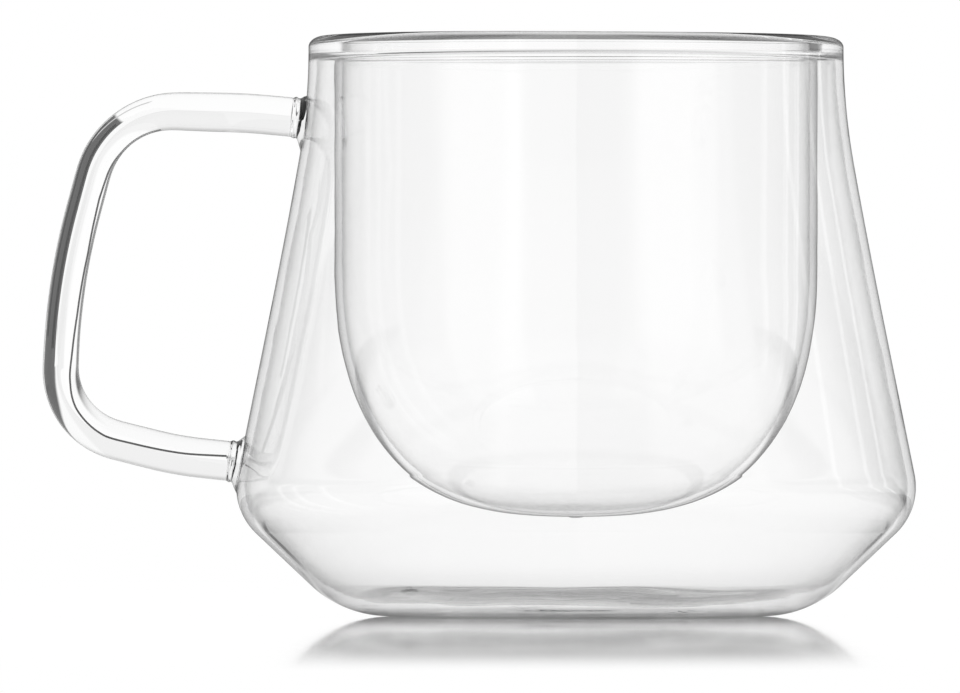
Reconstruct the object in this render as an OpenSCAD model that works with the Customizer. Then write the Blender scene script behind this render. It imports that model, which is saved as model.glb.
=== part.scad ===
// Double walled glass cup with a bent rod handle.
// Origin: centre of the flat base, on the table. +Z is up and the handle reaches towards -X.

/* [Outer wall] */
// Height of the cup from the table to the top of the rim
cup_h = 86.8; // [84:0.1:92]
// Greatest diameter, low on the side
belly_d = 101.6; // [98:0.1:104]
// Height of the greatest diameter above the table
belly_h = 19.3; // [18:0.1:20.5]
// Outside radius of the turn at the greatest diameter
belly_turn_r = 9.6; // [8:0.1:11]
// How far the edge of the flat base lies inside the greatest diameter
base_inset = 22.8; // [21:0.1:25]
// Outside radius of the turn from the flat base into the lower cone
foot_turn_r = 17; // [15:0.1:18]
// Lean of the side from upright, just above the belly, in degrees
belly_lean = 11.2; // [10:0.1:12.5]
// Lean of the side from upright, where the neck starts, in degrees
neck_lean = 10; // [9:0.1:11]
// Outside radius of the long turn from the side to the upright rim
neck_turn_r = 100; // [85:1:110]
// Thickness of the outer wall
outer_wall_t = 1.2; // [0.9:0.05:1.5]
// Thickness of the flat base
base_t = 1.3; // [1:0.05:2.3]

/* [Inner bowl] */
// Inner diameter of the mouth and of the upright part of the bowl
mouth_d = 70; // [66:0.1:73]
// Thickness of the bowl
bowl_t = 1.1; // [0.9:0.05:1.3]
// Depth of the upright wall, from the top of the rim to where the bowl starts to curve in
bowl_upright = 33; // [26:0.1:39]
// Free height between the flat base and the nub under the bowl
floor_gap = 12.2; // [10:0.1:16]
// Fullness of the bowl's round bottom: 2 is an ellipse, more is squarer
bowl_fullness = 2.5; // [2:0.05:3]
// Diameter of the small nub under the bowl, where it came off the blowing iron
nub_d = 2.4; // [1.6:0.1:3.2]
// How far the nub stands below the bowl
nub_h = 0.3; // [0.2:0.05:0.6]

/* [Rim seam] */
// Width of the gap between the two walls, where the seam closes it
gap_w = 2.7; // [2.3:0.05:3.6]
// Solid glass above the gap between the walls, up to the top of the rim
seam_solid_h = 2.8; // [2.4:0.05:4]
// Height of the rounded top of the rim
rim_round_h = 1.7; // [1.2:0.05:2.2]
// Fillet radius in the two upper corners of the gap
gap_fillet_r = 1.05; // [0.4:0.05:1.1]
// Upright part of the seam's two legs, from the walls to the fillets
seam_leg_h = 0.8; // [0.4:0.05:1.5]

/* [Handle] */
// Diameter of the handle's rod
rod_d = 5.8; // [5:0.05:6.5]
// Depth of the rod's axis at the upper weld, below the top of the rim
upper_weld_drop = 12.4; // [11:0.1:14.5]
// Reach of the slight turn in the upper run, out from the rim
upper_run_reach = 9.1; // [8.4:0.1:10]
// Depth of that turn below the top of the rim
upper_run_drop = 11.6; // [11.2:0.1:12]
// Radius of the rod's axis around that turn
upper_run_bend_r = 80; // [40:1:84]
// Reach of the upper corner, out from the rim
upper_corner_reach = 29.6; // [27:0.1:31.5]
// Depth of the upper corner below the top of the rim
upper_corner_drop = 11.1; // [10.6:0.1:11.8]
// Radius of the rod's axis around the upper corner
upper_bend_r = 12.5; // [9:0.1:12.7]
// Reach of the middle of the long grip, out from the belly
grip_reach = 25.6; // [24:0.1:27]
// Height of the middle of the grip above the lower corner
grip_rise = 21.9; // [20:0.1:24]
// Radius of the grip's slight outward bow
grip_bend_r = 100; // [70:1:105]
// Reach of the lower corner, out from the belly
lower_corner_reach = 26.7; // [25:0.1:28]
// Height of the lower corner above the greatest diameter
lower_corner_rise = 9.2; // [8.4:0.1:10.4]
// Radius of the rod's axis around the lower corner
lower_bend_r = 11; // [8:0.1:11.2]
// Reach of the slight turn in the lower run, out from the belly
lower_run_reach = 8.8; // [8.2:0.1:9.6]
// Height of that turn above the greatest diameter
lower_run_rise = 4.7; // [4.4:0.1:5]
// Radius of the rod's axis around that turn
lower_run_bend_r = 58; // [40:1:60]
// Height of the rod's axis at the lower weld above the greatest diameter
lower_weld_rise = 3.7; // [3.2:0.1:4]

/* [Handle welds] */
// Fillet radius of the glass drawn out around the upper weld
upper_weld_fillet_r = 2.2; // [1.6:0.05:2.6]
// Straight stub between the upper fillet and the rod
upper_weld_stub = 0.5; // [0.3:0.05:1.5]
// Fillet radius of the glass drawn out around the lower weld
lower_weld_fillet_r = 2; // [1.6:0.05:2.6]
// Straight stub between the lower fillet and the rod
lower_weld_stub = 0.4; // [0.3:0.05:1.5]

/* [Vent plug] */
// How far the vent lies inside the edge of the flat base, on the side of the handle
vent_inset = 2.9; // [2.2:0.1:8]
// Diameter of the vent hole through the base
vent_d = 1.6; // [1.2:0.05:2]
// How far the plug's head laps over the edge of the hole
plug_lip = 0.55; // [0.3:0.05:0.8]
// Height of the round edge of the plug's head
plug_head_h = 0.6; // [0.4:0.05:1]
// Height of the pointed tip above the head's edge
plug_tip_h = 1.3; // [0.8:0.05:1.6]
// How far the plug's stem stays above the table
plug_recess = 0.3; // [0.2:0.05:0.9]

/* [Hidden] */

$fn = 144;
// Straight steps that stand for each curve of an outline
turn_steps = 14;
side_steps = 10;
dome_steps = 30;
fillet_steps = 6;
// Share of a run of the rod that one bend may take up
bend_share = 0.49;
// The flame thins the rod a little in its bends, and the straight runs lap over the bends' ends
bend_thinning = 0.02;
bend_lap = 0.2;
// How far a weld's foot starts below the wall's surface, as a share of its fillet
foot_share = 0.07;
// How far a cut runs past the faces that it goes through
overrun = 1;
glass = [0.86, 0.91, 0.92, 0.35];
silicone = [0.8, 0.82, 0.82, 0.7];

mouth_r = mouth_d / 2;
bowl_r = mouth_r + bowl_t;
rim_r = bowl_r + gap_w + outer_wall_t;
belly_r = belly_d / 2;
base_r = belly_r - base_inset;
rod_r = rod_d / 2;
vent_out = base_r - vent_inset;

bowl_turn_h = cup_h - bowl_upright;
bowl_foot_h = base_t + floor_gap + nub_h;
bowl_floor_h = bowl_foot_h + bowl_t;
gap_top_h = cup_h - seam_solid_h;
seam_h = gap_top_h - gap_fillet_r - seam_leg_h;
neck_h = cup_h - rim_round_h;

foot_centre = [base_r, foot_turn_r];
belly_centre = [belly_r - belly_turn_r, belly_h];
neck_centre = [rim_r + neck_turn_r, neck_h];

// The lower cone is the common tangent of the foot turn and the belly turn
foot_to_belly = belly_centre - foot_centre;
cone_rise = atan2(foot_to_belly.y, foot_to_belly.x)
    + asin((foot_turn_r - belly_turn_r) / norm(foot_to_belly));

function unit(v) = v / norm(v);
function turned(a) = [cos(a), sin(a)];
function ease(s) = (1 - cos(180 * s)) / 2;
function mix(a, b, s) = a + (b - a) * s;

// Points along an arc from one angle to another
function arc_points(centre, r, from, to, steps) =
    [for (i = [0:steps]) centre + r * turned(mix(from, to, i / steps))];

// Inner points of a cubic curve that leaves and arrives along two given angles
function side_points(start, end, start_angle, end_angle) =
    let (reach = norm(end - start) / 3)
    let (a = start + reach * turned(start_angle), b = end - reach * turned(end_angle))
    [
        for (i = [1:side_steps - 1])
            let (s = i / side_steps, q = 1 - s)
                q * q * q * start + 3 * q * q * s * a + 3 * q * s * s * b + s * s * s * end
    ];

// Lean of the neck at a height, on the outside or at an inset from it
function neck_lean_at(h, inset) = asin((neck_h - h) / (neck_turn_r + inset));

// Foot turn: the inset changes smoothly from the base to the wall
function foot_points(floor_t, inset) = [
    for (i = [0:turn_steps])
        let (s = i / turn_steps)
            foot_centre
                + (foot_turn_r - mix(floor_t, inset, ease(s))) * turned(-90 + cone_rise * s)
];

function belly_points(inset) =
    arc_points(belly_centre, belly_turn_r - inset, cone_rise - 90, belly_lean, turn_steps);

function neck_points(inset) = arc_points(
    neck_centre, neck_turn_r + inset,
    180 + neck_lean, 180 + neck_lean_at(seam_h, inset), turn_steps
);

// The side above the belly, from the belly turn to the rim seam
function upper_side(inset) =
    let (belly = belly_points(inset), neck = neck_points(inset))
    concat(
        side_points(belly[turn_steps], neck[0], 90 + belly_lean, 90 + neck_lean),
        neck
    );

// The wall's outline from the flat base up to the rim seam, at an inset from the outside
function wall_outline(floor_t, inset) =
    concat(foot_points(floor_t, inset), belly_points(inset), upper_side(inset));

// Outside radius of the wall at a height on the side above the belly
function wall_r_at(h) =
    lookup(h, [for (p = concat(belly_points(0), upper_side(0))) if (p.y > belly_h) [p.y, p.x]]);

// Radius of the gap's outer side where the wall meets the rim seam
gap_r = neck_points(outer_wall_t)[turn_steps].x;

// Round bottom of the bowl, from its upright wall down to a given radius near the axis
function dome_points(r, bottom_h, end_r) =
    let (end = acos(pow(end_r / r, bowl_fullness / 2)), power = 2 / bowl_fullness)
    [
        for (i = [0:dome_steps])
            let (t = end * i / dome_steps)
                [r * pow(cos(t), power), mix(bowl_turn_h, bottom_h, pow(sin(t), power))]
    ];

function reversed(points) = [for (i = [len(points) - 1:-1:0]) points[i]];

// Route of the rod's axis in the plane of the handle: corners and bend radii between the welds
upper_weld_h = cup_h - upper_weld_drop;
lower_weld_h = belly_h + lower_weld_rise;
upper_weld_at = [-wall_r_at(upper_weld_h), upper_weld_h];
lower_weld_at = [-wall_r_at(lower_weld_h), lower_weld_h];
upper_run = [-rim_r - upper_run_reach, cup_h - upper_run_drop];
upper_corner = [-rim_r - upper_corner_reach, cup_h - upper_corner_drop];
lower_corner = [-belly_r - lower_corner_reach, belly_h + lower_corner_rise];
grip = [-belly_r - grip_reach, lower_corner.y + grip_rise];
lower_run = [-belly_r - lower_run_reach, belly_h + lower_run_rise];
upper_out = unit(upper_run - upper_weld_at);
lower_out = unit(lower_run - lower_weld_at);

// A weld's foot lies deep enough for the round wall to meet the fillet on all sides
function foot_depth(wall_r, fillet_r) =
    pow(rod_r + fillet_r, 2) / (2 * wall_r) + foot_share * fillet_r;
function weld_length(wall_r, fillet_r, stub) = fillet_r - foot_depth(wall_r, fillet_r) + stub;

upper_weld_l = weld_length(-upper_weld_at.x, upper_weld_fillet_r, upper_weld_stub);
lower_weld_l = weld_length(-lower_weld_at.x, lower_weld_fillet_r, lower_weld_stub);

rod_corners = [
    upper_weld_at + upper_weld_l * upper_out,
    upper_run,
    upper_corner,
    grip,
    lower_corner,
    lower_run,
    lower_weld_at + lower_weld_l * lower_out,
];
bend_radii = [
    0, upper_run_bend_r, upper_bend_r, grip_bend_r, lower_bend_r, lower_run_bend_r, 0
];

// Angle between the two runs that meet at corner i
function corner_angle(i) =
    let (u = unit(rod_corners[i - 1] - rod_corners[i]), v = unit(rod_corners[i + 1] - rod_corners[i]))
    acos(u * v);

// How much of each run the bend at corner i takes up, limited by the shorter run
function bend_reach(i) =
    bend_radii[i] == 0 ? 0 : min(
        bend_radii[i] / tan(corner_angle(i) / 2),
        bend_share * norm(rod_corners[i - 1] - rod_corners[i]),
        bend_share * norm(rod_corners[i + 1] - rod_corners[i])
    );

// Round bar between two points of the handle's plane
module straight_run(start, end) {
    way = end - start;
    translate([start.x, 0, start.y])
        rotate([0, atan2(way.x, way.y), 0])
            cylinder(h = norm(way), r = rod_r);
}

// Round bar bent around corner i of the handle's plane
module bend(i) {
    corner = rod_corners[i];
    u = unit(rod_corners[i - 1] - corner);
    v = unit(rod_corners[i + 1] - corner);
    half = corner_angle(i) / 2;
    r = bend_reach(i) * tan(half);
    centre = corner + r / sin(half) * unit(u + v);
    middle = atan2(corner.y - centre.y, corner.x - centre.x);
    translate([centre.x, 0, centre.y])
        rotate([90, 0, 0])
            rotate([0, 0, middle - 90 + half])
                rotate_extrude(angle = 180 - 2 * half)
                    translate([r, 0])
                        circle(r = rod_r - bend_thinning);
}

// The cup's outside as one solid, which cuts the welds' feet
module cup_envelope() {
    outline = wall_outline(0, 0);
    rotate_extrude()
        polygon(concat([[0, 0]], outline, [[0, seam_h]]));
}

// Glass drawn out between the wall and the rod's end: a stub with a fillet around its foot
module weld(at, out, fillet_r, stub) {
    foot = -foot_depth(-at.x, fillet_r);
    fillet = arc_points([rod_r + fillet_r, foot + fillet_r], fillet_r, -90, -180, fillet_steps);
    difference() {
        translate([at.x, 0, at.y])
            rotate([0, atan2(out.x, out.y), 0])
                rotate_extrude()
                    polygon(concat(
                        [[0, foot]], fillet,
                        [[rod_r, foot + fillet_r + stub], [0, foot + fillet_r + stub]]
                    ));
        cup_envelope();
    }
}

// Outer shell with its flat base, and the vent hole through the base
module outer_wall() {
    outside = wall_outline(0, 0);
    inside = wall_outline(base_t, outer_wall_t);
    color(glass)
        difference() {
            rotate_extrude()
                polygon(concat([[0, 0]], outside, reversed(inside), [[0, base_t]]));
            translate([-vent_out, 0, -overrun])
                cylinder(h = base_t + 2 * overrun, d = vent_d);
        }
}

// Inner bowl that holds the drink, with the small nub under it
module inner_bowl() {
    nub_r = nub_d / 2;
    outside = dome_points(bowl_r, bowl_foot_h, nub_r);
    inside = dome_points(mouth_r, bowl_floor_h, 0);
    nub_top = outside[dome_steps].y;
    nub = [
        for (i = [1:fillet_steps])
            let (a = 90 * i / fillet_steps)
                [nub_r * cos(a), nub_top - nub_h * sin(a)]
    ];
    color(glass)
        rotate_extrude()
            polygon(concat([[bowl_r, seam_h]], outside, nub, reversed(inside), [[mouth_r, seam_h]]));
}

// Ring of glass in which the two walls' rims are melted together
module rim_seam() {
    top_centre = [(rim_r + mouth_r) / 2, neck_h];
    half_w = (rim_r - mouth_r) / 2;
    outside = arc_points(
        neck_centre, neck_turn_r, 180 + neck_lean_at(seam_h, 0), 180, fillet_steps
    );
    top = [
        for (i = [1:turn_steps])
            let (a = 180 * i / turn_steps)
                top_centre + [half_w * cos(a), rim_round_h * sin(a)]
    ];
    fillet_h = gap_top_h - gap_fillet_r;
    gap = concat(
        [[bowl_r, seam_h]],
        arc_points([bowl_r + gap_fillet_r, fillet_h], gap_fillet_r, 180, 90, fillet_steps),
        arc_points([gap_r - gap_fillet_r, fillet_h], gap_fillet_r, 90, 0, fillet_steps),
        [[gap_r, seam_h]]
    );
    color(glass)
        rotate_extrude()
            polygon(concat(outside, top, [[mouth_r, seam_h]], gap));
}

// Solid glass rod, bent into the handle
module handle_rod() {
    color(glass)
        for (i = [0:len(rod_corners) - 2]) {
            start = rod_corners[i];
            end = rod_corners[i + 1];
            way = unit(end - start);
            from = bend_reach(i) > 0 ? bend_reach(i) - bend_lap : 0;
            to = bend_reach(i + 1) > 0 ? bend_reach(i + 1) - bend_lap : 0;
            straight_run(start + from * way, end - to * way);
            if (i > 0) bend(i);
        }
}

module upper_handle_weld() {
    color(glass)
        weld(upper_weld_at, upper_out, upper_weld_fillet_r, upper_weld_stub);
}

module lower_handle_weld() {
    color(glass)
        weld(lower_weld_at, lower_out, lower_weld_fillet_r, lower_weld_stub);
}

// Stopper in the vent hole: a stem, and a pointed head inside the gap
module vent_plug() {
    stem_r = vent_d / 2;
    head_r = stem_r + plug_lip;
    head_top = base_t + plug_head_h;
    color(silicone)
        translate([-vent_out, 0, 0])
            rotate_extrude()
                polygon([
                    [0, plug_recess],
                    [stem_r, plug_recess],
                    [stem_r, base_t],
                    [head_r, base_t],
                    [head_r, head_top],
                    [0, head_top + plug_tip_h],
                ]);
}

outer_wall();
inner_bowl();
rim_seam();
handle_rod();
upper_handle_weld();
lower_handle_weld();
vent_plug();
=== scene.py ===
"""Looks of the double walled glass cup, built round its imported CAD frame.

Sizes are in millimetres until a mesh is made, and distances in shaders are in metres. +Z is up,
the handle reaches towards -X, and the photograph looks along +Y.
"""

import logging
import math
from collections.abc import Callable, Mapping, Sequence
from dataclasses import dataclass, replace
from enum import Enum
from functools import cached_property
from typing import Any, Union

import bmesh
import bpy
import numpy as np
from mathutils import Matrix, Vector


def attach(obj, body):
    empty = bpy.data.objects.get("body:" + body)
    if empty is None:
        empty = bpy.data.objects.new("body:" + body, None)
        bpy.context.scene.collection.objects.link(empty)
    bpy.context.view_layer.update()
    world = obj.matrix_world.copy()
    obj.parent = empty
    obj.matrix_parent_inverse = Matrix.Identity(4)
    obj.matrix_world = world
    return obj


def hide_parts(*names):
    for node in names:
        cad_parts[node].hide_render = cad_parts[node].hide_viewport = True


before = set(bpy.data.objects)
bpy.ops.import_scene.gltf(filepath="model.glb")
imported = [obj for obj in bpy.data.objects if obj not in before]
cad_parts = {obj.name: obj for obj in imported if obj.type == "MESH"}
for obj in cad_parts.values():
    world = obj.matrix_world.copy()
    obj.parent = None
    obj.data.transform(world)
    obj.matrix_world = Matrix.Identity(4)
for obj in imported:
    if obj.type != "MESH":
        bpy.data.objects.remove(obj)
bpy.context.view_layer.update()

MM = 0.001
ON_AXIS = 1e-6
TINY = 1e-12
BODY = "root"
WHITE = (1.0, 1.0, 1.0, 1.0)
BLACK = (0.0, 0.0, 0.0, 1.0)
LOG = logging.getLogger("cup")

Value = Union["Signal", float, Sequence[float]]
Ends = tuple[float, float]
Span = tuple[float, float, float]
Stops = tuple[tuple[float, float], ...]
Bend = Callable[[np.ndarray], np.ndarray]


class Facing(Enum):
    """Which faces of a piece show, which are fused into a neighbour, and which line a hollow."""

    SHOWN = 0
    FUSED = 1
    LINING = 2


# Shader tools


class Signal:
    """One output of a node, with operators that add Math nodes."""

    def __init__(self, graph: "Graph", socket: bpy.types.NodeSocket) -> None:
        """Keeps the graph and the socket."""
        self.graph = graph
        self.socket = socket

    def output(self, name: str) -> "Signal":
        """Another output of the same node."""
        return Signal(self.graph, self.socket.node.outputs[name])

    def math(self, operation: str, other: Value = 0.0) -> "Signal":
        """A Math node on this value and another."""
        return self.graph.math(operation, self, other)

    def __add__(self, other: Value) -> "Signal":
        """This value plus another."""
        return self.math("ADD", other)

    def __sub__(self, other: Value) -> "Signal":
        """This value less another."""
        return self.math("SUBTRACT", other)

    def __rsub__(self, other: Value) -> "Signal":
        """Another value less this one."""
        return self.graph.math("SUBTRACT", other, self)

    def __mul__(self, other: Value) -> "Signal":
        """This value times another."""
        return self.math("MULTIPLY", other)

    def __truediv__(self, other: Value) -> "Signal":
        """This value over another."""
        return self.math("DIVIDE", other)

    def __pow__(self, other: Value) -> "Signal":
        """This value to a power."""
        return self.math("POWER", other)

    def __abs__(self) -> "Signal":
        """This value without its sign."""
        return self.math("ABSOLUTE")

    def __lt__(self, other: Value) -> "Signal":
        """1 where this value is below another, and 0 elsewhere."""
        return self.math("LESS_THAN", other)

    __radd__ = __add__
    __rmul__ = __mul__

    def smooth(self, low: float, high: float) -> "Signal":
        """A soft step.

        Args:
            low: Where it is 0. It may be above high.
            high: Where it is 1.

        Returns:
            The step, as a Map Range node.
        """
        ends = (low, high, 0.0, 1.0) if low < high else (high, low, 1.0, 0.0)
        inputs = {0: self, 1: ends[0], 2: ends[1], 3: ends[2], 4: ends[3]}
        return self.graph.node("ShaderNodeMapRange", inputs, interpolation_type="SMOOTHSTEP")

    def band(self, low: float, high: float, soft: float) -> "Signal":
        """1 between low and high and 0 outside, with soft ends."""
        return self.smooth(low - soft, low + soft) * self.smooth(high + soft, high - soft)

    def over(self, count: int) -> "Signal":
        """1 where a whole number is above a count, and 0 elsewhere."""
        return self.smooth(count + 0.4, count + 0.6)

    def up_to(self, count: int) -> "Signal":
        """1 where a whole number is at most a count, and 0 elsewhere."""
        return self.smooth(count + 0.6, count + 0.4)

    def at_least(self, other: Value) -> "Signal":
        """The greater of two values."""
        return self.math("MAXIMUM", other)

    def at_most(self, other: Value) -> "Signal":
        """The lesser of two values."""
        return self.math("MINIMUM", other)


class Graph:
    """The node tree of a material or world, built from Python expressions."""

    def __init__(self, owner: bpy.types.Material | bpy.types.World) -> None:
        """Empties the owner's tree."""
        owner.use_nodes = True
        self.owner = owner
        self.tree = owner.node_tree
        self.tree.nodes.clear()

    def node(
        self, kind: str, inputs: Mapping[str | int, Any] | None = None, **settings: Any
    ) -> Signal:
        """Adds one node.

        Args:
            kind: The node's type.
            inputs: Values or links, by socket name or number.
            settings: Its properties, which are set first. stops are the grey stops of a ramp.

        Returns:
            The node's first live output.
        """
        made = self.tree.nodes.new(kind)
        for name, value in settings.items():
            if name == "stops":
                self._set_stops(made.color_ramp, value)
            else:
                setattr(made, name, value)
        for key, value in (inputs or {}).items():
            socket = made.inputs[key]
            if isinstance(value, Signal):
                self.tree.links.new(value.socket, socket)
            else:
                socket.default_value = value
        return Signal(self, next((out for out in made.outputs if out.enabled), None))

    @staticmethod
    def _set_stops(ramp: bpy.types.ColorRamp, stops: Stops) -> None:
        """Fills a ramp with grey stops.

        Args:
            ramp: The ramp.
            stops: The stops as (place, level).
        """
        while len(ramp.elements) > 1:
            ramp.elements.remove(ramp.elements[-1])
        for number, (place, level) in enumerate(stops):
            stop = ramp.elements[0] if number == 0 else ramp.elements.new(place)
            stop.position = place
            stop.color = (level, level, level, 1.0)

    def math(self, operation: str, first: Value, second: Value) -> Signal:
        """A Math node on two values."""
        return self.node("ShaderNodeMath", {0: first, 1: second}, operation=operation)

    def mix_colours(self, share: Value, first: Value, second: Value) -> Signal:
        """A Mix node between two colours."""
        return self.node("ShaderNodeMix", {0: share, 6: first, 7: second}, data_type="RGBA")

    def mix_shaders(self, share: Value, first: Signal, second: Signal) -> Signal:
        """A Mix Shader node."""
        return self.node("ShaderNodeMixShader", {0: share, 1: first, 2: second})

    def place(self, kind: str = "Object") -> Signal:
        """Where on the surface, or in which direction of the world, the shader is worked out."""
        return self.node("ShaderNodeTexCoord").output(kind)

    def parts(self, vector: Signal) -> tuple[Signal, Signal, Signal]:
        """The X, Y and Z of a vector."""
        x = self.node("ShaderNodeSeparateXYZ", {0: vector})
        return x, x.output("Y"), x.output("Z")

    def noise(self, vector: Signal, scale: float, detail: float) -> Signal:
        """A noise of a number of waves per unit of the vector."""
        inputs = {"Vector": vector, "Scale": scale, "Detail": detail}
        return self.node("ShaderNodeTexNoise", inputs)

    def tilt_ramp(self, stops: Stops) -> Signal:
        """A grey that depends on how the surface is seen: from 0, head-on, to 1, along it."""
        facing = self.node("ShaderNodeLayerWeight", {"Blend": 0.5}).output("Facing")
        return self.node("ShaderNodeValToRGB", {0: facing}, stops=stops)

    def finish(self, shader: Signal) -> bpy.types.Material | bpy.types.World:
        """Links a shader to the tree's output.

        Args:
            shader: The whole shader.

        Returns:
            The material or world.
        """
        kind = "World" if isinstance(self.owner, bpy.types.World) else "Material"
        self.node("ShaderNodeOutput" + kind, {"Surface": shader})
        return self.owner


def mix_signal(first: Value, second: Value, share: Signal) -> Signal:
    """The value at a share of the way from first to second, as a Mix node."""
    inputs = {0: share, 2: first, 3: second}
    return share.graph.node("ShaderNodeMix", inputs, data_type="FLOAT")


def hypot(x: Signal, y: Signal) -> Signal:
    """Distance of (x, y) from zero, kept just above it."""
    return (x * x + y * y + TINY) ** 0.5


def bearing(x: Signal, y: Signal) -> Signal:
    """Direction round the cup in degrees: 0 behind it and 90 on its right."""
    return x.math("ARCTAN2", y) * math.degrees(1)


# Outlines


def heading(degrees: float | np.ndarray) -> np.ndarray:
    """Unit direction at an angle from +X, in the plane of the outline."""
    turn = np.radians(degrees)
    return np.stack([np.cos(turn), np.sin(turn)], axis=-1)


def mix(first: Any, second: Any, share: Any) -> Any:
    """The value at a share of the way from first to second."""
    return first + (second - first) * share


def unit(vector: np.ndarray) -> np.ndarray:
    """The vector at length 1."""
    return vector / np.linalg.norm(vector)


def arc(centre: Any, radius: Any, start: float, end: float, steps: int) -> np.ndarray:
    """Points of an arc.

    Args:
        centre: Its centre.
        radius: Its radius, or one for each point.
        start: Angle of its first point, in degrees.
        end: Angle of its last point, in degrees.
        steps: Number of its straight stretches.

    Returns:
        Points, one a row.
    """
    share = np.linspace(0, 1, steps + 1)
    spread = np.reshape(radius, (-1, 1))
    return np.asarray(centre) + spread * heading(mix(start, end, share))


@dataclass(frozen=True)
class CupShape:
    """Driving sizes of the blown walls and the rim, as in the CAD model."""

    cup_h: float = 86.8
    belly_d: float = 101.6
    belly_h: float = 19.3
    belly_turn_r: float = 9.6
    base_inset: float = 22.8
    foot_turn_r: float = 17.0
    belly_lean: float = 11.2
    neck_lean: float = 10.0
    neck_turn_r: float = 100.0
    outer_wall_t: float = 1.2
    base_t: float = 1.3
    mouth_d: float = 70.0
    bowl_t: float = 1.1
    bowl_upright: float = 33.0
    floor_gap: float = 12.2
    bowl_fullness: float = 2.5
    nub_d: float = 2.4
    nub_h: float = 0.3
    gap_w: float = 2.7
    seam_solid_h: float = 2.8
    rim_round_h: float = 1.7
    gap_fillet_r: float = 1.05
    seam_leg_h: float = 0.8
    steps: int = 40

    @property
    def mouth_r(self) -> float:
        """Inner radius of the mouth."""
        return self.mouth_d / 2

    @property
    def bowl_r(self) -> float:
        """Outer radius of the bowl's upright wall."""
        return self.mouth_r + self.bowl_t

    @property
    def rim_r(self) -> float:
        """Outer radius of the rim."""
        return self.bowl_r + self.gap_w + self.outer_wall_t

    @property
    def belly_r(self) -> float:
        """Outer radius of the belly."""
        return self.belly_d / 2

    @property
    def base_r(self) -> float:
        """Radius of the flat base."""
        return self.belly_r - self.base_inset

    @property
    def bowl_turn_h(self) -> float:
        """Height at which the bowl starts to curve in."""
        return self.cup_h - self.bowl_upright

    @property
    def bowl_foot_h(self) -> float:
        """Height of the bowl's underside."""
        return self.base_t + self.floor_gap + self.nub_h

    @property
    def neck_h(self) -> float:
        """Height at which the neck is upright."""
        return self.cup_h - self.rim_round_h

    @property
    def gap_top_h(self) -> float:
        """Height of the top of the gap between the walls."""
        return self.cup_h - self.seam_solid_h

    @property
    def seam_h(self) -> float:
        """Height at which the walls run into the rim seam."""
        return self.gap_top_h - self.gap_fillet_r - self.seam_leg_h

    @property
    def neck_centre(self) -> np.ndarray:
        """Centre of the long turn of the neck."""
        return np.array([self.rim_r + self.neck_turn_r, self.neck_h])

    def neck_lean_at(self, height: float, inset: float) -> float:
        """Lean of the neck from upright at a height, in degrees."""
        return math.degrees(math.asin((self.neck_h - height) / (self.neck_turn_r + inset)))

    def wall_outline(self, floor_t: float, inset: float) -> np.ndarray:
        """One side of the outer wall, from the flat base up to the seam.

        Args:
            floor_t: Distance from the outside at the flat base.
            inset: Distance from the outside everywhere else.

        Returns:
            Points as (radius, height).
        """
        steps = self.steps
        foot_centre = np.array([self.base_r, self.foot_turn_r])
        belly_centre = np.array([self.belly_r - self.belly_turn_r, self.belly_h])
        way = belly_centre - foot_centre
        reach = (self.foot_turn_r - self.belly_turn_r) / np.linalg.norm(way)
        cone = math.degrees(math.atan2(way[1], way[0]) + math.asin(reach)) - 90
        eased = (1 - np.cos(np.pi * np.linspace(0, 1, steps + 1))) / 2
        foot = arc(foot_centre, self.foot_turn_r - mix(floor_t, inset, eased), -90, cone, steps)
        belly = arc(belly_centre, self.belly_turn_r - inset, cone, self.belly_lean, steps)
        neck_r = self.neck_turn_r + inset
        seam_lean = self.neck_lean_at(self.seam_h, inset)
        neck = arc(self.neck_centre, neck_r, 180 + self.neck_lean, 180 + seam_lean, steps)
        return np.concatenate([foot, belly, self._side(belly[-1], neck[0]), neck])

    def _side(self, start: np.ndarray, end: np.ndarray) -> np.ndarray:
        """The curve between the belly turn and the neck.

        Args:
            start: End of the belly turn.
            end: Start of the neck.

        Returns:
            Its inner points.
        """
        handle = np.linalg.norm(end - start) / 3
        first = start + handle * heading(90 + self.belly_lean)
        last = end - handle * heading(90 + self.neck_lean)
        share = np.linspace(0, 1, self.steps + 1)[1:-1, None]
        left = 1 - share
        near_start = left**3 * start + 3 * left**2 * share * first
        return near_start + 3 * left * share**2 * last + share**3 * end

    def dome(self, radius: float, bottom_h: float, end_r: float) -> np.ndarray:
        """Round bottom of the bowl, from its upright wall towards the axis.

        Args:
            radius: Radius of the upright wall.
            bottom_h: Height of the bottom.
            end_r: Radius at which the outline ends.

        Returns:
            Points as (radius, height).
        """
        power = 2 / self.bowl_fullness
        end = math.acos((end_r / radius) ** (1 / power))
        turn = np.linspace(0, end, 3 * self.steps + 1)
        across = radius * np.clip(np.cos(turn), 0, 1) ** power
        height = mix(self.bowl_turn_h, bottom_h, np.sin(turn) ** power)
        return np.stack([across, height], axis=1)

    def outside_r(self, height: float | np.ndarray) -> np.ndarray:
        """Outside radius of the outer wall at a height."""
        outline = self.wall_outline(0, 0)
        return np.interp(height, outline[:, 1], outline[:, 0])


# Meshes


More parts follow.
